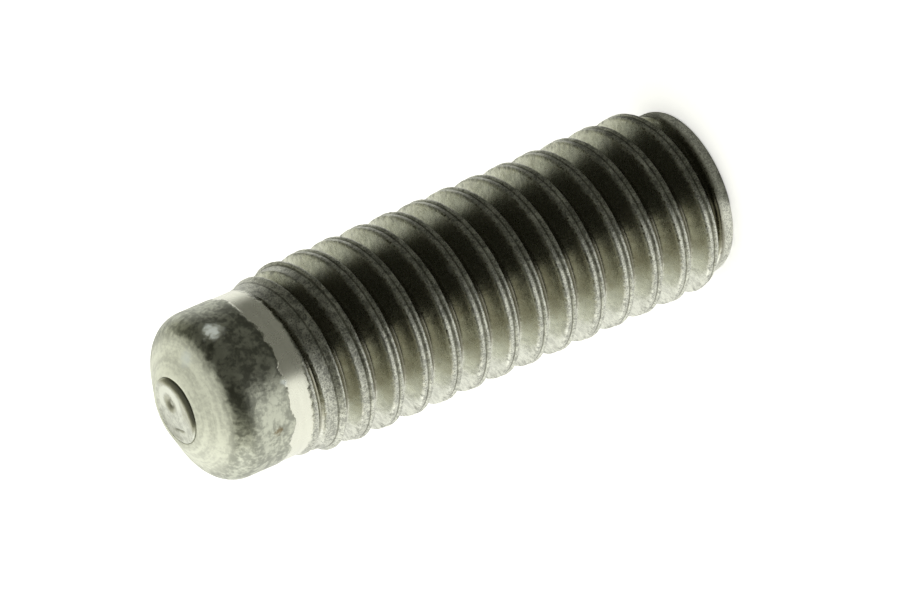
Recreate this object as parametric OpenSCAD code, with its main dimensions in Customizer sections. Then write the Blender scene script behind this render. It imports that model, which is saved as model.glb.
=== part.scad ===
// Arc weld stud: a rolled full-thread steel stud with a smooth weld base, and the small
// aluminium flux ball that is pressed into its weld face.
// It stands on its flat thread end at z = 0, and +Z runs up its axis to the weld tip.
// All sizes are in millimetres.

/* [Stud] */
// Length of the steel, from the thread end to the mouth of the hole in the weld face
stud_l = 25; // [15:0.1:60]

/* [Thread] */
// Diameter over the thread's crests
crest_d = 7.9; // [7.4:0.05:10]
// Diameter at the thread's roots
root_d = 6.2; // [5.2:0.05:6.8]
// Distance from one turn to the next, 18 turns to the inch
pitch = 1.411; // [1.2:0.001:2]
// Width of the rolled crest between its flanks
crest_w = 0.42; // [0.3:0.01:0.6]
// Drop from the crest's lips to the top of its flanks
crest_drop = 0.12; // [0.02:0.01:0.2]
// Distance between the two lips that rolling leaves on the crest
lip_gap = 0.24; // [0.18:0.01:0.28]
// Depth of the seam between the lips
seam_depth = 0.04; // [0.01:0.01:0.1]
// Distance of the seam from the crest's middle, towards the thread end
seam_shift = 0.04; // [0:0.01:0.08]
// Width of the flat at the thread's root
root_w = 0.15; // [0.1:0.01:0.3]
// Length over which the thread fades out towards the weld base
fade_l = 2.4; // [1:0.1:6]
// Diameter of the plain blank that is left below the thread
plain_d = 7; // [6.6:0.02:7.3]
// Length of the plain blank, from the thread end to the first groove
plain_l = 0.75; // [0.4:0.05:1.5]
// Diameter of the flat thread end
end_d = 6.5; // [6:0.1:7]
// Height of the bevel round the thread end
bevel_h = 0.3; // [0.1:0.05:0.4]

/* [Weld base] */
// Diameter of the smooth base
base_d = 7.1; // [6.9:0.02:7.36]
// Length of the base, from the thread's first trace to the mouth of the hole
base_l = 4.2; // [3:0.1:8]
// Drop from the base's surface to the rolled surface beside it
roll_step = 0.03; // [0.01:0.01:0.1]
// Slope of the coned weld face
face_slope = 29; // [5:1:35]
// Width of the flat land round the mouth of the hole
land_w = 0.15; // [0.05:0.05:0.5]
// Radius of the rounding between the weld face and the side
base_round = 1.2; // [0.4:0.05:1.6]

/* [Flux ball] */
// Diameter of the blind hole in the weld face
hole_d = 2.84; // [2:0.02:3.1]
// Depth of the blind hole
hole_depth = 2.9; // [1.8:0.1:6]
// Diameter of the ball before it was pressed in
ball_d = 3.18; // [2.9:0.01:4]
// Height of the pressed ball above the mouth of the hole
ball_proud = 0.18; // [0:0.02:0.4]
// Radius of the rounding round the ball's pressed top
ball_edge = 0.44; // [0.1:0.02:0.6]
// Diameter of the dent that the punch left in the ball's top
dent_d = 0.8; // [0.3:0.1:1.2]
// Depth of the dent
dent_depth = 0.1; // [0.05:0.01:0.2]
// Distance of the dent from the axis
dent_offset = 0.34; // [0:0.02:0.5]
// Direction of the dent from the axis, in degrees from +X
dent_turn = 306; // [0:1:359]

/* [Fineness] */
// Facets in one turn of the thread
turn_facets = 48; // [24:4:60]

/* [Hidden] */

crest_r = crest_d / 2;
root_r = root_d / 2;
plain_r = plain_d / 2;
end_r = end_d / 2;
base_r = base_d / 2;
hole_r = hole_d / 2;
ball_r = ball_d / 2;

// The thread ends at the foot of the weld base. Its body runs on a little way into the base and
// into the plain end.
thread_l = stud_l - base_l;
joint_l = 0.4;
thread_bottom = -pitch / 2;
thread_top = thread_l + joint_l;

// The corners of one turn in section. Each has its distance along the axis from the crest's
// middle, its radius, the side of the crest whose groove forms it, and whether it moves out from
// the crest's middle where that groove is still shallow.
thread_corners = [
    [-(pitch - root_w) / 2, root_r, -1, 0],
    [-crest_w / 2, crest_r - crest_drop, -1, 1],
    [-lip_gap / 2, crest_r, -1, 1],
    [-seam_shift, crest_r - seam_depth, 0, 0],
    [lip_gap / 2, crest_r, 1, 1],
    [crest_w / 2, crest_r - crest_drop, 1, 1],
    [(pitch - root_w) / 2, root_r, 1, 0],
];
flank_w = (pitch - root_w - crest_w) / 2;

// Each corner becomes a row of points that climbs with the thread.
rows = len(thread_corners);
turns = ceil((thread_top - thread_bottom) / pitch) + 2;
row_count = rows * (turns + 1);
last_row = row_count - 1;

// How far the thread is formed at a height: 1 over its length, down to 0 by the weld base
rolled_r = base_r - roll_step;
function fade(z) = max(0, min(1, (thread_l - z) / fade_l));

// Height of the middle of a row's crest, and how far the groove that forms the row has got
function crest_z(step, row) =
    thread_bottom + pitch * (step / turn_facets + floor(row / rows) - 1);
function formed(step, row) =
    fade(crest_z(step, row) + thread_corners[row % rows][2] * pitch / 2);

// Height and radius of a row at a step round the stud, before it is cut off at the thread's ends
function row_z(step, row) =
    let (corner = thread_corners[row % rows])
    crest_z(step, row) + corner[0]
        + corner[2] * corner[3] * flank_w * (1 - formed(step, row));
function row_r(step, row) =
    rolled_r + (thread_corners[row % rows][1] - rolled_r) * formed(step, row);

// Points nearer than this to an end of the thread body are laid on that end.
end_snap = pitch / 60;
function first_row(step) =
    max([for (row = [0:last_row]) if (row_z(step, row) < thread_bottom + end_snap) row]);
function last_used_row(step) =
    min([for (row = [0:last_row]) if (row_z(step, row) > thread_top - end_snap) row]);

// Radius of the full thread at its lower end, for a step round the stud
function end_radius(step) =
    let (turn_z = 0.5 - step / turn_facets)
    lookup((turn_z - floor(turn_z) - 0.5) * pitch,
           concat([[-pitch / 2, root_r]],
                  [for (corner = thread_corners) [corner[0], corner[1]]],
                  [[pitch / 2, root_r]]));

function ring_point(r, step, z) =
    [r * cos(360 * step / turn_facets), r * sin(360 * step / turn_facets), z];

module thread_body() {
    first = [for (step = [0:turn_facets - 1]) first_row(step)];
    last = [for (step = [0:turn_facets - 1]) last_used_row(step)];

    points = concat(
        [for (step = [0:turn_facets - 1], row = [0:last_row])
            row <= first[step] ? ring_point(end_radius(step), step, thread_bottom)
            : row >= last[step] ? ring_point(rolled_r, step, thread_top)
            : ring_point(row_r(step, row), step, row_z(step, row))],
        [[0, 0, thread_bottom], [0, 0, thread_top]]
    );
    bottom_centre = len(points) - 2;
    top_centre = len(points) - 1;

    // A full turn on, a step's rows are those of the first step, one thread higher.
    function index(step, row) =
        step == turn_facets ? index(0, row + rows)
                            : step * row_count + min(max(row, first[step]), last[step]);

    cells = [for (step = [0:turn_facets - 1], row = [0:last_row - rows])
        let (a = index(step, row), b = index(step + 1, row),
             c = index(step + 1, row + 1), d = index(step, row + 1))
        each [[a, d, c], [a, c, b]]];
    ends = [for (step = [0:turn_facets - 1])
        each [[bottom_centre, index(step, 0), index(step + 1, 0)],
              [top_centre, index(step + 1, last_row - rows), index(step, last_row - rows)]]];

    // Cells beyond the thread's ends have shrunk to nothing and are left out.
    polyhedron(points, [for (f = concat(cells, ends))
        if (f[0] != f[1] && f[1] != f[2] && f[2] != f[0]) f]);
}

// The blind hole in half section, open past the weld tip
module hole_section() {
    translate([0, stud_l - hole_depth])
        square([hole_r, hole_depth + 1]);
}

// The space that the thread's body may fill. Beside the plain end its crests rise at 45 degrees.
module rolled_length() {
    clear = 1;
    foot_r = plain_r - roll_step - joint_l;
    rotate_extrude($fn = 96)
        difference() {
            polygon([
                [0, plain_l - joint_l],
                [foot_r, plain_l - joint_l],
                [crest_r + clear, plain_l - joint_l + crest_r + clear - foot_r],
                [crest_r + clear, thread_top + clear],
                [0, thread_top + clear],
            ]);
            hole_section();
        }
}

module thread() {
    intersection() {
        thread_body();
        rolled_length();
    }
}

module plain_end() {
    rotate_extrude($fn = 96)
        polygon([[0, 0], [end_r, 0], [plain_r, bevel_h], [plain_r, plain_l], [0, plain_l]]);
}

// The face's cone starts at the land round the hole's mouth. The rounding's centre lies so that
// it touches both the side and the cone, which it meets at face_edge.
land_r = hole_r + land_w;
round_x = base_r - base_round;
round_z = stud_l - (round_x - land_r) * tan(face_slope) - base_round / cos(face_slope);
face_edge = [
    round_x + base_round * sin(face_slope),
    round_z + base_round * cos(face_slope),
];

module weld_base() {
    rotate_extrude($fn = 96)
        difference() {
            union() {
                polygon([[0, thread_l], [base_r, thread_l], [base_r, round_z],
                         [round_x, round_z], face_edge, [land_r, stud_l], [0, stud_l]]);
                intersection() {
                    translate([round_x, round_z])
                        circle(base_round, $fn = 96);
                    polygon([[round_x, round_z], [base_r + 1, round_z], [base_r + 1, stud_l],
                             face_edge + [sin(face_slope), cos(face_slope)], face_edge]);
                }
            }
            hole_section();
        }
}

module stud() {
    color("#8d8e80") {
        plain_end();
        thread();
        weld_base();
    }
}

// The ball, pressed in from above: its foot keeps the ball's own round, its middle has taken the
// hole's shape, and its top is flat with a rounded edge and the punch's dent.
ball_h = hole_depth + ball_proud;
dent_r = (dent_d * dent_d / 4 + dent_depth * dent_depth) / (2 * dent_depth);

module pressed_ball_section() {
    edge_x = hole_r - ball_edge;
    edge_z = ball_h - ball_edge;
    intersection() {
        union() {
            translate([0, ball_r])
                circle(ball_r, $fn = 96);
            translate([0, ball_r])
                square([ball_r, ball_h]);
        }
        union() {
            square([hole_r, edge_z]);
            square([edge_x, ball_h]);
            intersection() {
                translate([edge_x, edge_z])
                    circle(ball_edge, $fn = 48);
                translate([edge_x, edge_z])
                    square(ball_edge);
            }
        }
    }
}

module flux_ball() {
    color("#c9cbbf")
        translate([0, 0, stud_l - hole_depth])
            difference() {
                rotate_extrude($fn = 96)
                    pressed_ball_section();
                translate([dent_offset * cos(dent_turn), dent_offset * sin(dent_turn),
                           ball_h - dent_depth + dent_r])
                    sphere(dent_r, $fn = 96);
            }
}

stud();
flux_ball();
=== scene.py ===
"""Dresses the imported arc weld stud: its rolled thread, its weld base and the pressed flux ball."""

import math

import bpy
from bpy.props import FloatProperty, FloatVectorProperty, IntProperty, PointerProperty
from mathutils import Matrix, Vector, noise


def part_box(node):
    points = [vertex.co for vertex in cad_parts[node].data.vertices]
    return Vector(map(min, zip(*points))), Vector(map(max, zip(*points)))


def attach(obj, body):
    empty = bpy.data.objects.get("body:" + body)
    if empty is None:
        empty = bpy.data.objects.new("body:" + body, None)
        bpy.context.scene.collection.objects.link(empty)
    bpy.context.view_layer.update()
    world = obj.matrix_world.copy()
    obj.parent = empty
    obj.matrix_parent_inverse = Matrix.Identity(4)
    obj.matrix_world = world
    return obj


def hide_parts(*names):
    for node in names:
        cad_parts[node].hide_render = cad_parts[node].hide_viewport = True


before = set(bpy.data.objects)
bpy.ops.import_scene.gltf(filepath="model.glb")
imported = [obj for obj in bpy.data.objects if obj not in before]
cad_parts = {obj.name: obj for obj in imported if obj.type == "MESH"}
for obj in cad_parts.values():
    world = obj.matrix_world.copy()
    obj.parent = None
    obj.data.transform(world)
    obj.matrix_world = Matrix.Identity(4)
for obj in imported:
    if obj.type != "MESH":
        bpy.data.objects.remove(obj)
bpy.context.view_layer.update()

bl_info = {
    "name": "Arc weld stud",
    "version": (1, 0, 0),
    "blender": (4, 5, 0),
    "location": "View3D > Sidebar > Weld stud",
    "description": "Rolled arc weld stud with its pressed flux ball, on a white table",
    "category": "Add Mesh",
}

MM = 0.001
STUD_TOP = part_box("stud")[1].z
CREST_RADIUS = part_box("stud")[1].x


# ---------------------------------------------------------------------------------------------
# Sizes and colours
# ---------------------------------------------------------------------------------------------

def length(name, value, text):
    """A size in metres, given in millimetres."""
    return FloatProperty(name=name, description=text, default=value * MM, min=0.0,
                         precision=6, subtype="DISTANCE", unit="LENGTH")


def angle(name, degrees, text):
    return FloatProperty(name=name, description=text, default=math.radians(degrees),
                         subtype="ANGLE", unit="ROTATION")


def colour(name, rgb, text):
    return FloatVectorProperty(name=name, description=text, default=(*rgb, 1.0), size=4,
                               min=0.0, max=1.0, subtype="COLOR")


class StudSizes(bpy.types.PropertyGroup):
    """Sizes of the steel"""
    stud_l: length("Length", STUD_TOP / MM, "Thread end to the mouth of the hole")
    crest_r: length("Crest radius", round(CREST_RADIUS / MM, 2), "Radius over the thread's crests")
    root_r: length("Root radius", 3.1, "Radius at the thread's roots")
    pitch: length("Pitch", 1.411, "Distance from one turn to the next")
    fade_l: length("Fade", 2.4, "Length over which the thread runs out")
    plain_r: length("Plain radius", 3.5, "Radius of the plain blank below the thread")
    plain_l: length("Plain length", 0.75, "Thread end to the first groove")
    end_r: length("End radius", 3.25, "Radius of the flat thread end")
    bevel_h: length("Bevel", 0.3, "Height of the bevel at the thread end")
    base_r: length("Base radius", 3.55, "Radius of the smooth base")
    base_l: length("Base length", 4.2, "Thread's first trace to the mouth of the hole")
    roll_step: length("Roll step", 0.03, "Drop from the base to the rolled surface beside it")
    roll_edge: length("Roll edge", 3.2, "Mean distance of the rolled surface's edge from the tip")
    base_round: length("Base rounding", 1.2, "Radius between the weld face and the side")
    face_slope: angle("Face slope", 29, "Slope of the coned weld face")
    land_w: length("Land", 0.15, "Width of the land round the hole's mouth")
    hole_r: length("Hole radius", 1.42, "Radius of the blind hole")
    hole_depth: length("Hole depth", 2.9, "Depth of the blind hole")
    turn_steps: IntProperty(name="Steps", description="Steps in one turn of the thread",
                            default=160, min=24, max=240)


class BallSizes(bpy.types.PropertyGroup):
    """Sizes of the pressed flux ball"""
    ball_r: length("Ball radius", 1.59, "Radius of the ball before it is pressed in")
    proud: length("Proud height", 0.18, "Height of the pressed top above the hole's mouth")
    edge: length("Edge rounding", 0.44, "Radius round the pressed top")
    dent_r: length("Dent radius", 0.4, "Radius of the punch's dent")
    dent_depth: length("Dent depth", 0.1, "Depth of the punch's dent")
    dent_x: length("Dent offset", 0.34, "Distance of the dent from the axis")
    dent_turn: angle("Dent direction", 306, "Direction of the dent, from +X")
    crease_x: length("Crease offset", 0.83, "Distance of the crease from the axis")
    crease_turn: angle("Crease direction", 94, "Direction of the crease, from +X")
    lean: length("Lean", 0.17, "Fall of the pressed top from its high side to its low side")
    high_turn: angle("High side", 229, "Direction of the top's high side, from +X")
    low_edge: length("Low side's rounding", 0.1, "Radius round the top away from its high side")
    ring_steps: IntProperty(name="Steps", description="Steps round the ball",
                            default=128, min=24, max=240)


class Finishes(bpy.types.PropertyGroup):
    """Colours of the metals and of the table"""
    # The grey flanks on the camera's side are a painted shade
    steel: colour("Rolled steel", (0.55, 0.55, 0.455), "Grey flanks on the dirtier side")
    # Also the painted shade in the thread's roots, at a darker tone
    stain_and_shade: colour("Grime", (0.40, 0.385, 0.30), "Olive-brown stains on the flanks")
    # Flanks away from the camera take this colour, lighter than the painted shade on the camera's
    # side
    crest: colour("Crest steel", (0.77, 0.78, 0.69), "Mottled crests, and flanks on the cleaner side")
    band: colour("Rolled band", (0.90, 0.905, 0.79), "Smooth bare metal above the thread")
    neck: colour("Neck steel", (0.65, 0.67, 0.56), "Blotched metal of the neck")
    face: colour("Face steel", (0.88, 0.90, 0.78), "Dull metal of the weld face")
    # Also the painted shade along the seams and in the ball's gap
    oxide_and_shade: colour("Oxide", (0.10, 0.10, 0.06), "Dark oxide in pits, roots and seams")
    rust: colour("Rust", (0.20, 0.15, 0.07), "Small rust spots")
    # Also paints the two glints on the weld end, which are painted highlights
    bright: colour("Scuff", (0.84, 0.90, 0.90), "Bright scuffs on the weld end")
    # Its lighter tone paints the highlight dot in the dent, and its full tone the bright arc round
    # the dent
    ball: colour("Ball aluminium", (0.88, 0.90, 0.80), "Pressed top of the ball")
    # Also the painted dark reflection in the dent and the painted shade on the top's high side and
    # along the crease
    ball_side_and_shade: colour("Ball side", (0.50, 0.50, 0.40), "Round side of the ball")
    table: colour("Table", (0.9, 0.9, 0.9), "Pale table under the stud")


class StageSizes(bpy.types.PropertyGroup):
    """Camera and light"""
    azimuth: angle("Camera azimuth", -66.4, "Direction in which the camera looks, from +Y")
    elevation: angle("Camera elevation", 26.89, "How steeply the camera looks down")
    roll: angle("Axis angle", 23.43, "Angle of the stud's axis in the picture")
    distance: length("Camera distance", 489.5, "From the camera to the aim point")
    aim_z: length("Aim height", 13.02, "Height of the aim point on the axis")
    lens: FloatProperty(name="Lens", description="Focal length in millimetres",
                        default=487.7, min=1.0)


# ---------------------------------------------------------------------------------------------
# Shader maths
# ---------------------------------------------------------------------------------------------

class Nodes:
    """Adds nodes to one material or world, each with its settings first and then its inputs."""

    def __init__(self, tree):
        self.tree = tree
        tree.nodes.clear()

    def add(self, kind, inputs=None, **settings):
        node = self.tree.nodes.new(kind)
        for name, value in settings.items():
            if name == "stops":
                ramp = node.color_ramp.elements
                while len(ramp) < len(value):
                    ramp.new(1.0)
                for stop, (place, tone) in zip(ramp, value):
                    stop.position, stop.color = place, tone
            else:
                setattr(node, name, value)
        for key, value in (inputs or {}).items():
            if isinstance(value, Socket):
                self.tree.links.new(value.socket, node.inputs[key])
            else:
                node.inputs[key].default_value = value
        return node

    def out(self, kind, key, inputs=None, **settings):
        return Socket(self, self.add(kind, inputs, **settings).outputs[key])

    def math(self, operation, *values, clamp=False):
        return self.out("ShaderNodeMath", 0, dict(enumerate(values)),
                        operation=operation, use_clamp=clamp)

    def mix(self, factor, a, b):
        """Colour a where factor is 0 and b where it is 1."""
        node = self.add("ShaderNodeMix", data_type="RGBA")
        ends = [s for s in node.inputs if s.type == "RGBA"]
        for socket, value in ((node.inputs[0], factor), (ends[0], a), (ends[1], b)):
            if isinstance(value, Socket):
                self.tree.links.new(value.socket, socket)
            else:
                socket.default_value = value
        return Socket(self, [s for s in node.outputs if s.type == "RGBA"][0])

    def noise(self, vector, scale, detail=2.0, rough=0.5, warp=0.0):
        return self.out("ShaderNodeTexNoise", 0,
                        {"Vector": vector, "Scale": scale, "Detail": detail,
                         "Roughness": rough, "Distortion": warp})

    def step(self, value, low, high):
        """0 below low, 1 above high, and a smooth rise between."""
        return self.out("ShaderNodeMapRange", 0,
                        {0: value, 1: low, 2: high, 3: 0.0, 4: 1.0},
                        interpolation_type="SMOOTHSTEP")

    def edge(self, value, at, fade):
        """0 before a place and 1 past it; fade holds both ends of the rise, from that place."""
        return self.step(value, at + fade[0], at + fade[1])

    def distance(self, place, centre):
        return self.out("ShaderNodeVectorMath", "Value", {0: place, 1: centre},
                        operation="DISTANCE")

    def near(self, place, centre, inner, outer, ragged=0.0):
        """1 within inner of a centre and 0 beyond outer."""
        return 1.0 - self.step(self.distance(place, centre) + ragged, inner, outer)

    def vector(self, x, y, z):
        return self.out("ShaderNodeCombineXYZ", 0, {0: x, 1: y, 2: z})

    def dot(self, way, fixed_way):
        return self.out("ShaderNodeVectorMath", "Value", {0: way, 1: tuple(fixed_way)},
                        operation="DOT_PRODUCT")


class Socket:
    """A node's output, on which sums and products add their Math nodes."""

    def __init__(self, nodes, socket):
        self.nodes, self.socket = nodes, socket

    def __add__(self, other): return self.nodes.math("ADD", self, other)
    def __radd__(self, other): return self.nodes.math("ADD", other, self)
    def __sub__(self, other): return self.nodes.math("SUBTRACT", self, other)
    def __rsub__(self, other): return self.nodes.math("SUBTRACT", other, self)
    def __mul__(self, other): return self.nodes.math("MULTIPLY", self, other)
    def __rmul__(self, other): return self.nodes.math("MULTIPLY", other, self)
    def __truediv__(self, other): return self.nodes.math("DIVIDE", self, other)


def new_material(name):
    material = bpy.data.materials.new(name)
    material.use_nodes = True
    return material, Nodes(material.node_tree)


def millimetres(nodes):
    """Object coordinates in millimetres, whole and split into x, y and z."""
    place = nodes.out("ShaderNodeTexCoord", "Object")
    scaled = nodes.out("ShaderNodeVectorMath", 0, {0: place, "Scale": 1.0 / MM}, operation="SCALE")
    split = nodes.add("ShaderNodeSeparateXYZ", {0: scaled})
    return (scaled, *(Socket(nodes, split.outputs[i]) for i in range(3)))


def finish_metal(nodes, base, metallic, roughness, height, depth):
    """Ends a metal's tree: its shader, with a bump of a depth in metres."""
    bump = nodes.out("ShaderNodeBump", 0, {"Strength": 1.0, "Distance": depth, "Height": height})
    shader = nodes.out("ShaderNodeBsdfPrincipled", 0,
                       {"Base Color": base, "Metallic": metallic, "Roughness": roughness,
                        "Normal": bump})
    nodes.add("ShaderNodeOutputMaterial", {"Surface": shader})


def shade(tone, factor):
    """A lighter or a darker tone."""
    return tuple(c * factor for c in tone[:3]) + (1.0,)


def patchy(nodes, rim_highlight, tone, dark, light=1.0):
    """A tone times light where clean is 1, and times dark where it is 0."""
    return nodes.mix(rim_highlight, shade(tone, dark), shade(tone, light))


# Level direction of the stud's side that faces the camera, where the flanks get painted shade and
# stains
SHADED_SIDE_WAY = (-0.916, -0.400)
# Half width of a crest's mottled metal, and of the painted shade line along its seam, in millimetres
MOTTLED_HALF_W = 0.27
SEAM_LINE_W = (0.02, 0.05)
# Soft edges of the zones in millimetres, from the thread's first trace, the top of the plain
# blank, a crest's edge, the middle of a root, the rolled surface's edge, and twice from the tip
TRACE_FADE = (-0.05, 0.08)
PLAIN_FADE = (-0.32, -0.04)
CREST_FADE = (-0.04, 0.04)
ROOT_FADE = (-0.14, -0.03)
NECK_FADE = (-0.04, 0.04)
CORNER_FADE = (-1.7, -1.2)
FACE_FADE = (-0.95, -0.6)
STEEL_BUMP = 0.016 * MM
# Marks on the weld end: a bright scuff first, then two painted glints. Each has its place from the
# axis and from the tip, the reach inside which it is whole and the one past which it is gone, in
# millimetres, its raggedness and its strength.
SCUFFS_AND_GLINTS = (
    ((-1.50, -3.22, -1.60), 0.15, 0.55, 2.4, 1.0),
    ((-0.87, -2.27, -0.50), 0.0, 0.50, 1.5, 0.7),
    ((-3.46, -0.77, -3.20), 0.0, 0.25, 1.5, 0.7),
)
RUST_SPOT = ((-3.37, 1.12, -2.48), 0.05, 0.26, 1.5, 1.0)


class SteelPatterns:
    """Where a point of the steel lies, in millimetres, and the noise patterns there."""

    def __init__(self, n, sizes):
        self.place, self.x, self.y, self.z = millimetres(n)
        self.out = n.math("SQRT", self.x * self.x + self.y * self.y)
        self.pitch = sizes.pitch / MM
        self.tip = sizes.stud_l / MM
        turn = n.math("ARCTAN2", self.y, self.x) / math.tau
        # Distance along the axis from the middle of the nearest crest; positive towards the tip
        self.off = (n.math("FRACT", self.z / self.pitch - turn + 1.0) - 0.5) * self.pitch

        # From large to fine
        self.cloud = n.noise(self.place, 0.9, 3.0, 0.6)
        self.blotch = n.noise(self.place, 2.4, 4.0, 0.62, 0.4)
        self.speck = n.noise(self.place, 5.5, 3.0, 0.6)
        self.fine = n.noise(self.place, 16.0, 2.0, 0.55)
        # Drawn out along the thread, and round the axis
        self.along = n.noise(n.vector(self.x * 0.5, self.y * 0.5, self.off * 4.0),
                             1.0, 3.0, 0.55)
        self.ringed = n.noise(n.vector(self.x * 0.35, self.y * 0.35,
                                       self.out * 4.5 + self.z * 3.0), 1.0, 4.0, 0.6)
        self.wobble = (self.speck - 0.5) * 0.30 + (self.blotch - 0.5) * 0.15
        self.worn = n.step(self.blotch * 0.45 + self.ringed * 0.25 + self.speck * 0.3,
                           0.43, 0.58)

    def mark(self, n, spot):
        (x, y, rise), whole, gone, ragged, strength = spot
        return n.near(self.place, (x, y, self.tip + rise), whole, gone,
                      self.wobble * ragged) * strength


class SteelZones:
    """Zones of the steel's surface, each 1 inside it and 0 outside: the crests with the seam
    along them, the roots, the plain blank at the thread end, and on the weld base the bare
    rolled band, the neck, the corner and the weld face."""

    def __init__(self, n, sizes, p):
        half = p.pitch / 2
        top = p.tip - sizes.base_l / MM
        beside = n.math("ABSOLUTE", p.off)
        side = n.math("SIGN", p.off)
        # Crests are wider where the thread is shallow, and the blank is plain at both its ends.
        shallow = 1.0 - n.math("MULTIPLY", top - p.z + p.off - side * half,
                               1.0 / (sizes.fade_l / MM), clamp=True)
        crest_edge = MOTTLED_HALF_W + shallow * (FLANK_SHIFT / MM)
        above = n.edge(p.z + (p.blotch - 0.5) * 0.5, top, TRACE_FADE)
        crest = (1.0 - n.step(beside + p.wobble - crest_edge, *CREST_FADE)) * (1.0 - above)
        self.plain = 1.0 - n.edge(p.z + p.wobble * 0.5, sizes.plain_l / MM, PLAIN_FADE)
        self.crest = n.math("MAXIMUM", crest, self.plain)
        # Roots of the thread, which take a painted shade
        self.root = n.edge(beside + p.wobble * 0.5, half, ROOT_FADE) \
            * (1.0 - self.plain) * (1.0 - above) * (1.0 - shallow)
        # The seam down a crest's middle, which takes a line of painted shade
        self.seam = (1.0 - n.step(n.math("ABSOLUTE", p.off - SEAM_OFFSET), *SEAM_LINE_W)) \
            * self.crest * (1.0 - self.plain)

        self.neck = n.edge(p.z + (p.cloud - 0.5) * 0.9 + (p.blotch - 0.5) * 0.5,
                           p.tip - sizes.roll_edge / MM, NECK_FADE)
        self.face = n.edge(p.z + (p.blotch - 0.5) * 0.3, p.tip, FACE_FADE)
        self.corner = n.edge(p.z + (p.cloud - 0.5) * 0.8, p.tip, CORNER_FADE) \
            * (1.0 - self.face)
        self.band = above * (1.0 - self.neck)


def steel_tone(n, finishes, p, zone, scuff_and_glint):
    """Colour of the steel, laid on zone by zone."""
    # The flanks are pale on the side away from the camera, and grey with painted shade and stains on
    # the camera's side.
    shaded_side = n.step((p.x * SHADED_SIDE_WAY[0] + p.y * SHADED_SIDE_WAY[1]) / p.out + (p.blotch - 0.5) * 0.5,
                   0.45, 0.80)
    stain = n.step(p.cloud * 0.6 + p.speck * 0.4, 0.40, 0.60)
    grey = patchy(n, n.step(p.along * 0.4 + p.blotch * 0.6, 0.38, 0.62), finishes.steel, 0.80)
    pale = patchy(n, n.step(p.blotch * 0.5 + p.speck * 0.5, 0.38, 0.60),
                  finishes.crest, 0.78, 1.06)
    # Painted shade on the camera's side
    tone = n.mix(shaded_side, pale, grey)
    tone = n.mix(stain * 0.8 * shaded_side, tone, tuple(finishes.stain_and_shade))

    mottled = n.step(p.blotch * 0.25 + p.speck * 0.3 + p.fine * 0.45, 0.42, 0.57)
    pit = n.step(p.speck * 0.5 + p.fine * 0.5, 0.57, 0.63)
    crest = n.mix(pit * 0.75, patchy(n, mottled, finishes.crest, 0.50, 1.08),
                  tuple(finishes.oxide_and_shade))
    tone = n.mix(zone.crest, tone, crest)
    # Painted shade in the roots
    tone = n.mix(zone.root * 0.9, tone, shade(finishes.stain_and_shade, 0.55))
    # Painted shade along the seam
    tone = n.mix(zone.seam * 0.6, tone, tuple(finishes.oxide_and_shade))

    tone = n.mix(zone.band, tone, patchy(n, n.step(p.ringed, 0.3, 0.6), finishes.band, 0.93))
    tone = n.mix(zone.neck, tone, patchy(n, p.worn, finishes.neck, 0.55))
    streaks = n.step(p.ringed * 0.65 + p.speck * 0.35, 0.38, 0.60)
    tone = n.mix(zone.face, tone, patchy(n, streaks, finishes.face, 0.72))
    # A bright scuff, and two painted glints
    tone = n.mix(scuff_and_glint * 0.9, tone, tuple(finishes.bright))
    return n.mix(p.mark(n, RUST_SPOT) * 0.8, tone, tuple(finishes.rust))


def steel_material(sizes, finishes):
    """Dark smooth flanks, greyer with painted shade on the camera's side, paler mottled crests and
    blank, a bare rolled band, a blotched neck and a dull weld face. Painted shade lies in the roots
    and along the seams, and painted glints on the weld end. The zones follow the thread and the
    height above the thread end."""
    material, n = new_material("rolled_steel")
    p = SteelPatterns(n, sizes)
    zone = SteelZones(n, sizes, p)
    scuff_and_glint = p.mark(n, SCUFFS_AND_GLINTS[0])
    for spot in SCUFFS_AND_GLINTS[1:]:
        scuff_and_glint = n.math("MAXIMUM", scuff_and_glint, p.mark(n, spot))
    tone = steel_tone(n, finishes, p, zone, scuff_and_glint)

    # Dull patches reflect less of the room than bare metal does.
    spots = n.step(p.blotch * 0.45 + p.speck * 0.55, 0.46, 0.64)
    metallic = 1.0 - zone.crest * (0.035 + spots * 0.07) * (1.0 - zone.plain) \
        - zone.plain * 0.27 - zone.band * 0.17 \
        - zone.neck * (0.05 + p.worn * 0.05) * (1.0 - zone.face) \
        + zone.corner * 0.04 - zone.face * 0.60 - scuff_and_glint * 0.45 * (1.0 - zone.face)
    rough = 0.27 + zone.crest * 0.17 + zone.neck * 0.13 + zone.face * 0.10 \
        + (p.cloud - 0.5) * 0.1 + (p.fine - 0.5) * 0.12 * (1.0 - zone.band)
    height = (p.blotch * 0.9 + p.along * 0.3 * (1.0 - zone.neck)
              + p.speck * (0.35 + zone.crest + zone.neck * 0.5)
              + p.fine * (0.15 + zone.crest * 0.3)) * (1.0 - zone.band)
    finish_metal(n, tone, metallic, rough, height, STEEL_BUMP)
    return material


# Finish of the ball's top, in millimetres. From the middle of the dent: where its painted highlight
# dot and its slope, painted grey as a dark reflection, end, where the painted bright arc round it
# starts and ends, and where the painted shade towards the high side starts. The bright arc lies only
# on the side below the last one's place along Y.
DOT_HIGHLIGHT_END = (0.09, 0.17)
SLOPE_END = (0.34, 0.50)
RIM_HIGHLIGHT_START = (0.42, 0.56)
RIM_HIGHLIGHT_END = (0.74, 0.90)
HIGH_SHADE_START = (0.84, 1.0)
RIM_HIGHLIGHT_SIDE = (-0.25, 0.05)
# Where the round side starts, from the axis, and how far towards the top's high side both it and the
# painted shade there start
SIDE_START = (1.06, 1.18)
HIGH_SIDE = (0.1, 0.7)
HIGH_SHADE = (0.1, 0.6)
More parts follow.
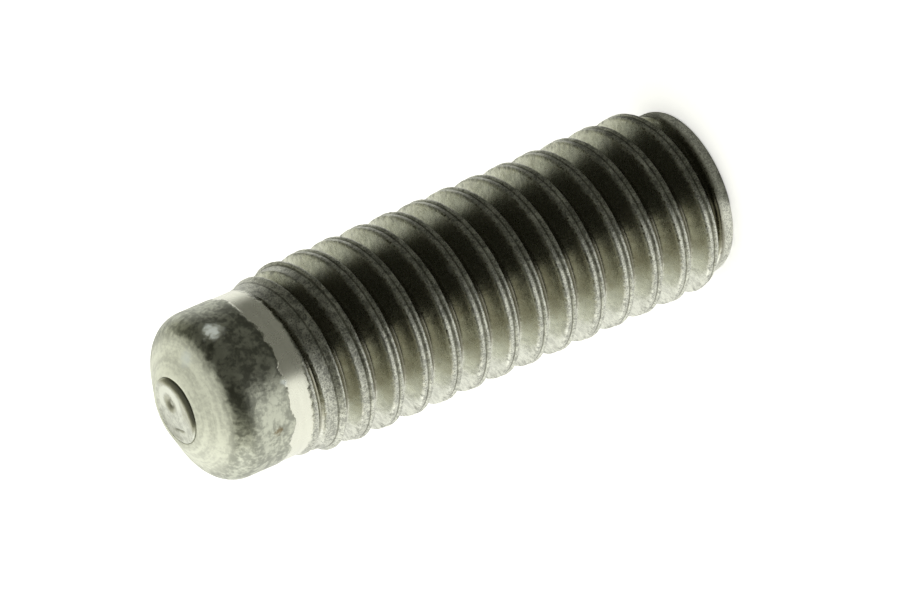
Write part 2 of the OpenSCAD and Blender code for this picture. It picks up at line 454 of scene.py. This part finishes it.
# The crease's line of painted shade: half width, half length and slope against X
CREASE_LINE_W = (0.01, 0.05)
CREASE_LINE_L = (0.25, 0.5)
CREASE_SLOPE = 0.07
# Height over the mouth at which the ball comes out of the gap's shade
GAP_FADE = (-0.02, 0.05)
BALL_BUMP = 0.012 * MM


def ball_material(sizes, ball, finishes):
    """Pressed aluminium: a dull scuffed top with the punch's dent in it, painted grey there as a dark
    reflection, with a painted highlight dot in its middle and a painted bright arc on one side of it,
    and painted shade towards the top's high side and along the crease; and a bare round side with
    painted shade in the gap."""
    material, n = new_material("pressed_aluminium")
    place, x, y, z = millimetres(n)
    blotch = n.noise(place, 3.4, 4.0, 0.6, 0.5)
    speck = n.noise(place, 9.0, 3.0, 0.6)
    fine = n.noise(place, 26.0, 2.0, 0.6)
    mouth = sizes.stud_l / MM
    out = n.math("SQRT", x * x + y * y)
    # Painted shade in the gap between the ball and the hole's wall
    in_gap = 1.0 - n.edge(z, mouth, GAP_FADE)
    high = x * math.cos(ball.high_turn) + y * math.sin(ball.high_turn)
    round_side = n.step(out + (blotch - 0.5) * 0.2, *SIDE_START) * n.step(high, *HIGH_SIDE)

    dent = (ball.dent_x / MM * math.cos(ball.dent_turn),
            ball.dent_x / MM * math.sin(ball.dent_turn), mouth)
    from_dent = n.distance(place, dent) + (blotch - 0.5) * 0.16
    dent_reflection = 1.0 - n.step(from_dent, *SLOPE_END)
    dot_highlight = 1.0 - n.step(from_dent, *DOT_HIGHLIGHT_END)
    rim_highlight = n.step(from_dent, *RIM_HIGHLIGHT_START) * (1.0 - n.step(from_dent, *RIM_HIGHLIGHT_END)) \
        * (1.0 - n.step(y, *RIM_HIGHLIGHT_SIDE))
    high_side_shade = n.step(from_dent, *HIGH_SHADE_START) * n.step(high, *HIGH_SHADE)
    # Line of painted shade along the crease
    across = y - ball.crease_x / MM + x * CREASE_SLOPE
    crease = (1.0 - n.step(n.math("ABSOLUTE", across), *CREASE_LINE_W)) \
        * (1.0 - n.step(n.math("ABSOLUTE", x), *CREASE_LINE_L))

    worn = n.step(blotch * 0.6 + speck * 0.4, 0.40, 0.60)
    tone = patchy(n, worn, finishes.ball, 0.66, 0.9)
    # Painted bright arc round the dent, on one side
    tone = n.mix(rim_highlight * 0.9, tone, tuple(finishes.ball))
    # Painted dark reflection in the dent, and painted shade towards the top's high side
    tone = n.mix(n.math("MAXIMUM", dent_reflection * 0.85, high_side_shade * 0.6), tone, tuple(finishes.ball_side_and_shade))
    # Painted highlight dot in the dent's middle
    tone = n.mix(dot_highlight, tone, shade(finishes.ball, 1.1))
    # Round side, and painted shade along the crease
    tone = n.mix(n.math("MAXIMUM", round_side, crease * 0.7), tone, tuple(finishes.ball_side_and_shade))
    # Painted shade in the gap
    tone = n.mix(in_gap * 0.7, tone, tuple(finishes.oxide_and_shade))
    rough = 0.36 - round_side * 0.06 + (fine - 0.5) * 0.1
    metallic = 0.66 + round_side * 0.24 - dot_highlight * 0.4
    finish_metal(n, tone, metallic, rough, blotch + speck * 0.6 + fine * 0.3, BALL_BUMP)
    return material


# ---------------------------------------------------------------------------------------------
# Mesh helpers
# ---------------------------------------------------------------------------------------------

# In metres: how near two points are one, lie on a cut, or lie at a height
SAME_POINT = 2e-6
ON_CUT = 1e-7
AT_HEIGHT = 3e-7


def start_edit(obj):
    bpy.ops.object.select_all(action="DESELECT")
    bpy.context.view_layer.objects.active = obj
    obj.select_set(True)
    bpy.ops.object.mode_set(mode="EDIT")


def end_edit():
    bpy.ops.object.mode_set(mode="OBJECT")


def lone_vertex(name, place):
    """A new mesh object that holds a single selected vertex, left in edit mode."""
    bpy.ops.object.select_all(action="DESELECT")
    bpy.ops.mesh.primitive_plane_add(size=MM, location=(0.0, 0.0, 0.0))
    obj = bpy.context.object
    obj.name = obj.data.name = name
    bpy.ops.object.mode_set(mode="EDIT")
    bpy.ops.mesh.select_all(action="SELECT")
    bpy.ops.mesh.merge(type="CENTER")
    bpy.ops.transform.translate(value=place)
    return obj


def smooth_rise(t):
    t = max(0.0, min(1.0, t))
    return t * t * (3.0 - 2.0 * t)


def soft_min(a, b, blend):
    """The smaller of two lengths, rounded off where they are within blend of each other."""
    near = max(blend - abs(a - b), 0.0) / blend
    return min(a, b) - near * near * blend * 0.25


def ripple(co, waves, layer=0.0):
    """Smooth noise from -1 to 1, with so many waves to the millimetre; each layer differs."""
    return noise.noise(co * (waves / MM) + Vector((0.0, 0.0, layer)))


def on_circle(co, radius, z):
    """The point's own direction from the axis, at another radius and height."""
    scale = radius / math.hypot(co.x, co.y)
    return Vector((co.x * scale, co.y * scale, z))


def stretch(start, end, steps):
    """Radii and heights evenly along a line in section, after its start and up to its end."""
    (r1, z1), (r2, z2) = start, end
    return [(r1 + (r2 - r1) * i / steps, z1 + (z2 - z1) * i / steps)
            for i in range(1, steps + 1)]


def arc(centre, size, start, end, steps):
    """Radii and heights along an arc in section, after its start angle and up to its end."""
    angles = [start + (end - start) * i / steps for i in range(1, steps + 1)]
    return [(centre[0] + size[0] * math.cos(a), centre[1] + size[1] * math.sin(a))
            for a in angles]


def cut_off(z, above):
    """Cuts the mesh in edit mode at a height and deletes what is above it, or else below."""
    bpy.ops.mesh.select_all(action="SELECT")
    bpy.ops.mesh.bisect(plane_co=(0, 0, z), plane_no=(0, 0, 1), clear_outer=above,
                        clear_inner=not above, threshold=ON_CUT)


def select_near_z(obj, z):
    """Selects the vertices that lie on one height; leaves the object in edit mode."""
    bpy.ops.mesh.select_mode(type="VERT")
    bpy.ops.mesh.select_all(action="DESELECT")
    end_edit()
    for v in obj.data.vertices:
        v.select = abs(v.co.z - z) < AT_HEIGHT
    bpy.ops.object.mode_set(mode="EDIT")


def raise_rings(obj, profile):
    """Extrudes the selected edge loop ring by ring and welds the last ring shut. profile gives
    each ring a radius and a height, or a function of the vertex that returns them."""
    for ring in profile:
        bpy.ops.mesh.extrude_region_move()
        end_edit()
        for v in obj.data.vertices:
            if v.select:
                radius, z = ring(v.co) if callable(ring) else ring
                v.co = on_circle(v.co, radius, z)
        bpy.ops.object.mode_set(mode="EDIT")
    bpy.ops.mesh.merge(type="CENTER")


def close_up(obj, material):
    """Points the faces outwards, smooths them and gives the piece its material."""
    bpy.ops.mesh.select_all(action="SELECT")
    bpy.ops.mesh.normals_make_consistent(inside=False)
    end_edit()
    bpy.ops.object.select_all(action="DESELECT")
    obj.select_set(True)
    bpy.context.view_layer.objects.active = obj
    bpy.ops.object.shade_smooth()
    obj.data.materials.clear()
    obj.data.materials.append(material)


# ---------------------------------------------------------------------------------------------
# The steel
# ---------------------------------------------------------------------------------------------

# Half section of one turn, in millimetres: distance from the crest's middle, positive towards
# the tip, and drop below the crest. Two lips and the seam between them crown the crest.
TURN_SECTION = (
    (-0.600, 0.845), (-0.548, 0.800), (-0.495, 0.690), (-0.425, 0.540), (-0.355, 0.390),
    (-0.290, 0.255), (-0.260, 0.180), (-0.236, 0.110), (-0.200, 0.045), (-0.155, 0.010),
    (-0.110, 0.000), (-0.070, 0.006), (-0.040, 0.024), (-0.010, 0.058), (0.020, 0.070),
    (0.050, 0.052), (0.085, 0.032), (0.130, 0.022), (0.180, 0.020), (0.230, 0.027),
    (0.275, 0.055), (0.308, 0.140), (0.350, 0.295), (0.408, 0.455), (0.480, 0.615),
    (0.550, 0.735), (0.610, 0.825), (0.655, 0.850),
)
SEAM_OFFSET = 0.02  # in millimetres, as in the section
# Distances from the crest's middle: of its lips, and of the end of its crown
LIP_OFFSET = 0.12 * MM
CREST_EDGE = 0.24 * MM
# How much further a crest reaches where its groove has not yet formed
FLANK_SHIFT = 0.36 * MM
# Rounding where the crests rise from the plain end
START_BLEND = 0.08 * MM
# Dips and pits of the crests: depths, waves to the millimetre, and the share of the thread's
# height from which they show and over which they set in
DIP_DEPTH, DIP_WAVES = 0.018 * MM, 1.7
PIT_DEPTH, PIT_WAVES = 0.035 * MM, 5.3
LIP_HEIGHT, LIP_RISE = 0.65, 0.2
# Turns of the thread that are rolled below the thread end, and then cut off
RUN_IN = 2.5
# Height above the thread at which the base's own rings start
BASE_START = 0.3 * MM


class Thread:
    """The threaded surface: full turns, and shallower turns with wider crests by the base."""

    def __init__(self, sizes):
        self.s = sizes
        self.top = sizes.stud_l - sizes.base_l
        self.rolled_r = sizes.base_r - sizes.roll_step
        self.half = sizes.pitch / 2
        self.section = [(-self.half, sizes.root_r)]
        self.section += [(offset * MM, max(sizes.crest_r - drop * MM, sizes.root_r))
                         for offset, drop in TURN_SECTION]
        self.section += [(self.half, sizes.root_r)]

    def full_radius(self, offset):
        """Radius of the full thread at a distance from the crest's middle."""
        points = self.section
        for (o1, r1), (o2, r2) in zip(points, points[1:]):
            if offset <= o2:
                return r1 + (r2 - r1) * (offset - o1) / (o2 - o1)
        return points[-1][1]

    def place(self, co):
        """Where a point of the evenly rolled blank ends up. A groove forms each side of a
        crest, and where the groove is still shallow the crest reaches further towards it."""
        s = self.s
        turn = math.atan2(co.y, co.x) / math.tau
        offset = ((co.z / s.pitch - turn + 1.0) % 1.0 - 0.5) * s.pitch
        side = max(-1.0, min(1.0, offset / LIP_OFFSET))
        formed = max(0.0, min(1.0, (self.top - co.z + offset - side * self.half) / s.fade_l))
        flank = max(0.0, (abs(offset) - CREST_EDGE) / (self.half - CREST_EDGE))
        spread = side * (1.0 - flank) * (1.0 - formed) * FLANK_SHIFT
        r = self.full_radius(offset)
        r -= self.waver(co, r)
        r = self.rolled_r + (r - self.rolled_r) * formed
        crest_start = s.plain_r - s.roll_step + co.z - s.plain_l
        return on_circle(co, soft_min(r, crest_start, START_BLEND), co.z + spread)

    def waver(self, co, r):
        """Small dips and pits that metal flow leaves along the lips."""
        s = self.s
        height = (r - s.root_r) / (s.crest_r - s.root_r)
        if height < LIP_HEIGHT:
            return 0.0
        dip = 0.5 + 0.5 * ripple(co, DIP_WAVES)
        pit = max(0.0, ripple(co, PIT_WAVES, 7.0) - 0.15)
        shown = smooth_rise((height - LIP_HEIGHT) / LIP_RISE)
        return (DIP_DEPTH * dip + PIT_DEPTH * pit) * shown


# The ledge where the thread starts at the plain end: drops below it and insets from the side,
# in millimetres, and the height that it takes
LEDGE = ((0.005, 0.16), (0.025, 0.07), (0.06, 0.02), (0.11, 0.0))
LEDGE_H = 0.17 * MM
LEDGE_WAVER = 0.05 * MM
# How far the bevel's rounding reaches up the side
BEVEL_ROUND = 0.07 * MM


def end_profile(sizes):
    """Rings of the plain end, from the first groove down and over the bevel to the middle."""
    s = sizes

    def ledge(drop, inset):
        def place(co):
            radius = max(math.hypot(co.x, co.y), s.plain_r - inset * MM)
            ragged = ripple(co.xy.to_3d(), 1.3, 21.0) * LEDGE_WAVER
            return min(radius, s.plain_r), s.plain_l - drop * MM + ragged
        return place

    rings = [ledge(drop, inset) for drop, inset in LEDGE]
    rings.append((s.plain_r, s.plain_l - LEDGE_H))
    round_h = s.bevel_h + BEVEL_ROUND
    rings += stretch(rings[-1], (s.plain_r, round_h), steps=3)
    rings += arc((s.end_r, round_h), (s.plain_r - s.end_r, -round_h), 0.0, math.pi / 2,
                 steps=8)
    rings += [(s.end_r * share, 0.0) for share in (0.97, 0.8, 0.5, 0.2, 0.05)]
    return rings


# The rolled surface's ragged edge: waves to the millimetre, noise layer and reach of its waves,
# its width, how far above its mean place its fine rings go, and their distance from one another
ROLL_EDGE_WAVES = ((0.9, 3.0, 0.22 * MM), (2.9, 9.0, 0.08 * MM))
ROLL_EDGE_W = 0.07 * MM
ROLL_EDGE_REACH = 0.45 * MM
FINE_RING = 0.05 * MM
# Rounding of the hole's mouth
MOUTH_ROUND = 0.03 * MM


def base_profile(sizes, thread):
    """Rings of the weld base, from the run-out up over the weld face and down into the hole."""
    s = sizes
    edge_z = s.stud_l - s.roll_edge

    def rolled_edge(z):
        def place(co):
            level = co.xy.to_3d()
            ragged = sum(ripple(level, waves, layer) * reach
                         for waves, layer, reach in ROLL_EDGE_WAVES)
            rise = smooth_rise((z - edge_z - ragged) / ROLL_EDGE_W + 0.5)
            return thread.rolled_r + (s.base_r - thread.rolled_r) * rise, z
        return place

    slope = s.face_slope
    land_r = s.hole_r + s.land_w
    round_x = s.base_r - s.base_round
    round_z = s.stud_l - (round_x - land_r) * math.tan(slope) - s.base_round / math.cos(slope)
    fine_top = edge_z + ROLL_EDGE_REACH
    start_z = thread.top + BASE_START
    fine = round((fine_top - start_z) / FINE_RING)
    rings = [rolled_edge(z) for _, z in stretch((s.base_r, start_z), (s.base_r, fine_top), fine)]
    rings += stretch((s.base_r, fine_top), (s.base_r, round_z), steps=5)
    rings += arc((round_x, round_z), (s.base_round, s.base_round), 0.0, math.pi / 2 - slope,
                 steps=18)
    rings += stretch(rings[-1], (land_r, s.stud_l), steps=6)
    rings += [(land_r - s.land_w / 2, s.stud_l), (s.hole_r + MOUTH_ROUND, s.stud_l),
              (s.hole_r + MOUTH_ROUND * 0.3, s.stud_l - MOUTH_ROUND * 0.3),
              (s.hole_r, s.stud_l - MOUTH_ROUND)]
    rings += [(s.hole_r, s.stud_l - s.hole_depth * share) for share in (0.2, 0.6, 1.0)]
    rings += [(s.hole_r * share, s.stud_l - s.hole_depth) for share in (0.66, 0.33, 0.08)]
    return rings


class STUD_OT_rolled_steel(bpy.types.Operator):
    """Rolls the thread on the blank, lets it run out and forms the weld base and its hole"""
    bl_idname = "weld_stud.rolled_steel"
    bl_label = "Rolled stud"

    def execute(self, context):
        s = context.scene.stud_sizes
        thread = Thread(s)
        start_z = -RUN_IN * s.pitch
        points = [Vector((r, 0.0, offset + start_z)) for offset, r in thread.section]
        obj = lone_vertex("rolled_stud", points[0])
        for a, b in zip(points, points[1:]):
            bpy.ops.mesh.extrude_region_move(TRANSFORM_OT_translate={"value": b - a})
        end_edit()

        screw = obj.modifiers.new("roll", "SCREW")
        screw.axis = "Z"
        screw.screw_offset = s.pitch
        screw.iterations = math.ceil((thread.top - start_z) / s.pitch) + 2
        screw.steps = screw.render_steps = s.turn_steps
        bpy.ops.object.modifier_apply(modifier="roll")

        start_edit(obj)
        bpy.ops.mesh.select_all(action="SELECT")
        bpy.ops.mesh.remove_doubles(threshold=SAME_POINT)
        cut_off(s.plain_l, above=False)
        end_edit()
        for v in obj.data.vertices:
            v.co = thread.place(v.co)

        start_edit(obj)
        cut_off(thread.top + BASE_START, above=True)
        select_near_z(obj, thread.top + BASE_START)
        raise_rings(obj, base_profile(s, thread))
        select_near_z(obj, s.plain_l)
        raise_rings(obj, end_profile(s))
        close_up(obj, steel_material(s, context.scene.stud_finishes))

        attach(obj, "root")
        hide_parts("stud")
        return {"FINISHED"}


# ---------------------------------------------------------------------------------------------
# The ball
# ---------------------------------------------------------------------------------------------

# Small forms of the pressed top: the boss in the dent's middle, the crease and its half width,
# its half length and what it fades over, and the depth of the metal's dips
DENT_BOSS = 0.03 * MM
CREASE_DEPTH = 0.05 * MM
CREASE_HALF_W = 0.08 * MM
CREASE_HALF_L = 0.2 * MM
CREASE_FADE = 0.4 * MM
TOP_DIP = 0.03 * MM


def ball_profile(sizes, ball):
    """Rings of the pressed ball, from its foot up the hole's wall and over the top."""
    s, b = sizes, ball
    wall_r = s.hole_r
    top_z = s.stud_l + b.proud
    high = Vector((math.cos(b.high_turn), math.sin(b.high_turn)))
    dent = Vector((b.dent_x * math.cos(b.dent_turn), b.dent_x * math.sin(b.dent_turn)))
    crease = Vector((math.cos(b.crease_turn), math.sin(b.crease_turn)))

    def side_of(co):
        """How far a point faces the top's high side, from 1 to -1, and the rounding there."""
        facing = on_circle(co, 1.0, 0.0).xy.dot(high)
        rounding = b.low_edge + (b.edge - b.low_edge) * smooth_rise(facing) ** 2
        return facing, rounding

    def top_edge(a):
        """A ring on the rounding, at an angle from its foot."""
        def place(co):
            facing, rounding = side_of(co)
            radius = wall_r - rounding * (1.0 - math.cos(a))
            drop = b.lean * 0.5 * (1.0 - facing * radius / wall_r)
            return radius, top_z - drop - rounding * (1.0 - math.sin(a))
        return place

    def pressed_top(inward):
        """A ring on the top, at a share of the way from the rounding to the middle."""
        def place(co):
            facing, rounding = side_of(co)
            radius = (wall_r - rounding) * (1.0 - inward)
            flat = on_circle(co, radius, 0.0)
            out = (flat.xy - dent).length / b.dent_r
            away = abs(flat.xy.dot(crease) - b.crease_x)
            along = abs(flat.xy.cross(crease))
            z = top_z - b.lean * 0.5 * (1.0 - facing * radius / wall_r)
            z -= b.dent_depth * (1.0 - smooth_rise(out * 1.3 - 0.3))
            z += DENT_BOSS * (1.0 - smooth_rise(out * 2.5))
            z -= CREASE_DEPTH * (1.0 - smooth_rise(away / CREASE_HALF_W)) \
                * (1.0 - smooth_rise((along - CREASE_HALF_L) / CREASE_FADE))
            z -= TOP_DIP * (0.5 + 0.5 * ripple(flat, 2.2, 5.0)) * smooth_rise(inward * 8.0)
            return radius, z
        return place

    # The foot is the ball's own round, up to where the hole's wall has pressed it in.
    belt_a = math.acos(wall_r / b.ball_r)
    foot_centre = (0.0, s.stud_l - s.hole_depth + b.ball_r)
    rings = arc(foot_centre, (b.ball_r, b.ball_r), -math.pi / 2, -belt_a, steps=14)
    rings += stretch(rings[-1], (wall_r, top_z - b.lean - b.edge), steps=8)
    edge_steps, top_steps = 8, 25
    rings += [top_edge(math.pi / 2 * i / edge_steps) for i in range(edge_steps + 1)]
    rings += [pressed_top(i / top_steps) for i in range(1, top_steps)]
    return rings


class STUD_OT_flux_ball(bpy.types.Operator):
    """Presses the aluminium ball into the hole: round foot, flattened top, dented by the punch"""
    bl_idname = "weld_stud.flux_ball"
    bl_label = "Flux ball"

    def execute(self, context):
        s, b = context.scene.stud_sizes, context.scene.ball_sizes
        rings = ball_profile(s, b)
        foot_r, foot_z = rings[0]
        bpy.ops.object.select_all(action="DESELECT")
        bpy.ops.mesh.primitive_circle_add(vertices=b.ring_steps, radius=foot_r,
                                          location=(0.0, 0.0, 0.0), fill_type="NOTHING")
        obj = context.object
        obj.name = obj.data.name = "pressed_flux_ball"
        for v in obj.data.vertices:
            v.co = on_circle(v.co, foot_r, foot_z)
        start_edit(obj)
        bpy.ops.mesh.select_all(action="SELECT")
        raise_rings(obj, rings[1:])
        select_near_z(obj, foot_z)
        raise_rings(obj, [(foot_r * 0.3, s.stud_l - s.hole_depth)])
        close_up(obj, ball_material(s, b, context.scene.stud_finishes))

        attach(obj, "root")
        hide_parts("flux_ball")
        return {"FINISHED"}


# ---------------------------------------------------------------------------------------------
# Table, light and camera
# ---------------------------------------------------------------------------------------------

# The picture in pixels, and the point in it at which the camera aims
PICTURE = (900.0, 600.0)
AIM_POINT = (422.81, 303.83)
SENSOR_W = 36.0
NEAR_CLIP, FAR_CLIP = 0.05, 10.0
TABLE_W = 4.0
WHITE = (1.0, 1.0, 1.0, 1.0)
# The room's light on dull surfaces, and the table's own glow to the camera
ROOM_TINT = (1.0, 1.0, 0.90, 1.0)
TABLE_GLOW = 0.42
# Lamp beside the stud: degrees from the camera's side, distance, height, width and watts
LAMP_TURN = 112.0
LAMP_REACH = 0.36
LAMP_RISE = 0.16
LAMP_W = 0.24
LAMP_POWER = 0.12
# The room's dark part: degrees from the camera's side, degrees above the table, and the cosines
# of the angles from its middle at which it starts to get lighter and is white
DARK_TURN = -32.0
DARK_RISE = 22.0
DARK_FROM, DARK_TO = 0.36, -0.56
# Where the table's dark part ends, in degrees from the camera's side, and the width of each edge
# as sines of the angles past it
HARD_EDGE = 20.0
HARD_FADE = (-0.06, 0.10)
SOFT_EDGE = -118.0
SOFT_FADE = (-0.3, 0.3)
# The room as metal sees it, from its dark part to its lit part
ROOM_TONES = (
    (0.0, (0.012, 0.012, 0.006, 1.0)),
    (0.14, (0.030, 0.030, 0.016, 1.0)),
    (0.32, (0.17, 0.17, 0.115, 1.0)),
    (0.52, (0.38, 0.38, 0.29, 1.0)),
    (0.75, (0.78, 0.78, 0.68, 1.0)),
    (1.0, (1.0, 1.0, 0.96, 1.0)),
)
DARK_TONE, LIT_TONE = ROOM_TONES[0][1], ROOM_TONES[-1][1]


def ray_kinds(nodes):
    """1 for camera rays, and 1 for rays that a mirror or a glass sends on."""
    rays = nodes.add("ShaderNodeLightPath")
    camera, glossy, through = (Socket(nodes, rays.outputs[k]) for k in
                               ("Is Camera Ray", "Is Glossy Ray", "Is Transmission Ray"))
    return camera, nodes.math("ADD", glossy, through, clamp=True)


def camera_axes(stage):
    """View direction, picture's right and picture's up."""
    a, phi, roll = stage.azimuth, stage.elevation, stage.roll
    level = Vector((-math.sin(a), math.cos(a), 0.0))
    up = Vector((0.0, 0.0, 1.0))
    view = level * math.cos(phi) - up * math.sin(phi)
    # The stud's axis as the picture shows it, and the level direction across it
    axis = (up + view * math.sin(phi)) / math.cos(phi)
    across = view.cross(axis)
    right = -axis * math.cos(roll) - across * math.sin(roll)
    return view, right, -axis * math.sin(roll) + across * math.cos(roll)


def level_way(view, degrees):
    """Level direction at an angle from the camera's side of the stud."""
    level = Vector((view.x, view.y, 0.0)).normalized()
    side = Vector((0.0, 0.0, 1.0)).cross(level)
    turn = math.radians(degrees)
    return -level * math.cos(turn) + side * math.sin(turn)


def room_tone(nodes, direction, view):
    """Colour of the surroundings in a direction: white, but unlit above and beside the camera."""
    rise = math.radians(DARK_RISE)
    dark_way = level_way(view, DARK_TURN) * math.cos(rise) + Vector((0.0, 0.0, math.sin(rise)))
    facing = nodes.dot(direction, dark_way)
    lit = nodes.out("ShaderNodeMapRange", 0,
                    {0: facing, 1: DARK_FROM, 2: DARK_TO, 3: 0.0, 4: 1.0})
    return nodes.out("ShaderNodeValToRGB", "Color", {"Fac": lit}, stops=ROOM_TONES)


def table_tone(nodes, x, y, view):
    """Colour of the table in mirrors: unlit on one side of the stud, with a hard edge where the
    dark passes in front of the camera and a soft one at the far side."""
    way = nodes.out("ShaderNodeVectorMath", 0, {0: nodes.vector(x, y, 0.0)},
                    operation="NORMALIZE")
    past_hard = nodes.dot(way, level_way(view, HARD_EDGE + 90.0))
    past_soft = nodes.dot(way, level_way(view, SOFT_EDGE - 90.0))
    lit = nodes.math("MAXIMUM", nodes.step(past_hard, *HARD_FADE),
                     nodes.step(past_soft, *SOFT_FADE))
    return nodes.mix(lit, DARK_TONE, LIT_TONE)


def table_material(finishes, view):
    """White to the camera but for the stud's shadow; metal also sees the room's dark side."""
    material, n = new_material("pale_table")
    camera, mirror = ray_kinds(n)
    _, x, y, _ = millimetres(n)
    plain = n.out("ShaderNodeBsdfDiffuse", 0, {"Color": tuple(finishes.table)})
    glow = n.out("ShaderNodeEmission", 0, {"Color": WHITE, "Strength": camera * TABLE_GLOW})
    seen = n.out("ShaderNodeAddShader", 0, {0: plain, 1: glow})
    mirrored = n.out("ShaderNodeEmission", 0,
                     {"Color": table_tone(n, x, y, view), "Strength": 1.0})
    both = n.out("ShaderNodeMixShader", 0, {0: mirror, 1: seen, 2: mirrored})
    n.add("ShaderNodeOutputMaterial", {"Surface": both})
    return material


def room_world(view):
    """White to the camera and faintly tinted light elsewhere; metal sees the dark part too."""
    world = bpy.data.worlds.new("room")
    world.use_nodes = True
    n = Nodes(world.node_tree)
    camera, mirror = ray_kinds(n)
    direction = n.out("ShaderNodeTexCoord", "Generated")
    tone = n.mix(mirror, n.mix(camera, ROOM_TINT, WHITE), room_tone(n, direction, view))
    back = n.out("ShaderNodeBackground", 0, {"Color": tone, "Strength": 1.0})
    n.add("ShaderNodeOutputWorld", {"Surface": back})
    return world


def add_lamp(name, place, aim):
    data = bpy.data.lights.new(name, "AREA")
    data.shape = "RECTANGLE"
    data.size = data.size_y = LAMP_W
    data.energy = LAMP_POWER
    obj = bpy.data.objects.new(name, data)
    bpy.context.scene.collection.objects.link(obj)
    obj.location = place
    obj.rotation_euler = (aim - place).to_track_quat("-Z", "Y").to_euler()


def add_camera(stage, aim):
    view, right, up = camera_axes(stage)
    lens = bpy.data.cameras.new("camera")
    lens.lens = stage.lens
    lens.sensor_width = SENSOR_W
    lens.shift_x = (PICTURE[0] / 2 - AIM_POINT[0]) / PICTURE[0]
    lens.shift_y = (AIM_POINT[1] - PICTURE[1] / 2) / PICTURE[0]
    lens.clip_start, lens.clip_end = NEAR_CLIP, FAR_CLIP
    camera = bpy.data.objects.new("camera", lens)
    bpy.context.scene.collection.objects.link(camera)
    turn = Matrix((right, up, -view)).transposed().to_4x4()
    camera.matrix_world = Matrix.Translation(aim - view * stage.distance) @ turn
    bpy.context.scene.camera = camera


class STUD_OT_stage(bpy.types.Operator):
    """Sets the stud on a pale table under soft light and aims the camera"""
    bl_idname = "weld_stud.stage"
    bl_label = "Table, light and camera"

    def execute(self, context):
        scene, stage = context.scene, context.scene.stage_sizes
        view = camera_axes(stage)[0]
        aim = Vector((0.0, 0.0, stage.aim_z))

        bpy.ops.object.select_all(action="DESELECT")
        bpy.ops.mesh.primitive_plane_add(size=TABLE_W, location=(0.0, 0.0, 0.0))
        table = context.object
        table.name = "table"
        table.data.materials.append(table_material(scene.stud_finishes, view))

        scene.world = room_world(view)
        lamp = aim + level_way(view, LAMP_TURN) * LAMP_REACH + Vector((0.0, 0.0, LAMP_RISE))
        add_lamp("side_softbox", lamp, aim)
        add_camera(stage, aim)
        scene.view_settings.view_transform = "Standard"
        return {"FINISHED"}


class STUD_PT_panel(bpy.types.Panel):
    """Lists the stud's pieces"""
    bl_idname = "STUD_PT_panel"
    bl_label = "Weld stud"
    bl_space_type = "VIEW_3D"
    bl_region_type = "UI"
    bl_category = "Weld stud"

    def draw(self, context):
        for operator in OPERATORS:
            self.layout.operator(operator.bl_idname)
        for name in GROUPS:
            group = getattr(context.scene, name)
            for key in group.__annotations__:
                self.layout.prop(group, key)


OPERATORS = (STUD_OT_rolled_steel, STUD_OT_flux_ball, STUD_OT_stage)
GROUPS = {"stud_sizes": StudSizes, "ball_sizes": BallSizes, "stud_finishes": Finishes,
          "stage_sizes": StageSizes}


def register():
    for cls in (*GROUPS.values(), *OPERATORS, STUD_PT_panel):
        bpy.utils.register_class(cls)
    for name, group in GROUPS.items():
        setattr(bpy.types.Scene, name, PointerProperty(type=group))


def unregister():
    for name in GROUPS:
        delattr(bpy.types.Scene, name)
    for cls in reversed((*GROUPS.values(), *OPERATORS, STUD_PT_panel)):
        bpy.utils.unregister_class(cls)


def main():
    register()
    bpy.ops.weld_stud.rolled_steel()
    bpy.ops.weld_stud.flux_ball()
    bpy.ops.weld_stud.stage()


if __name__ == "__main__":
    main()
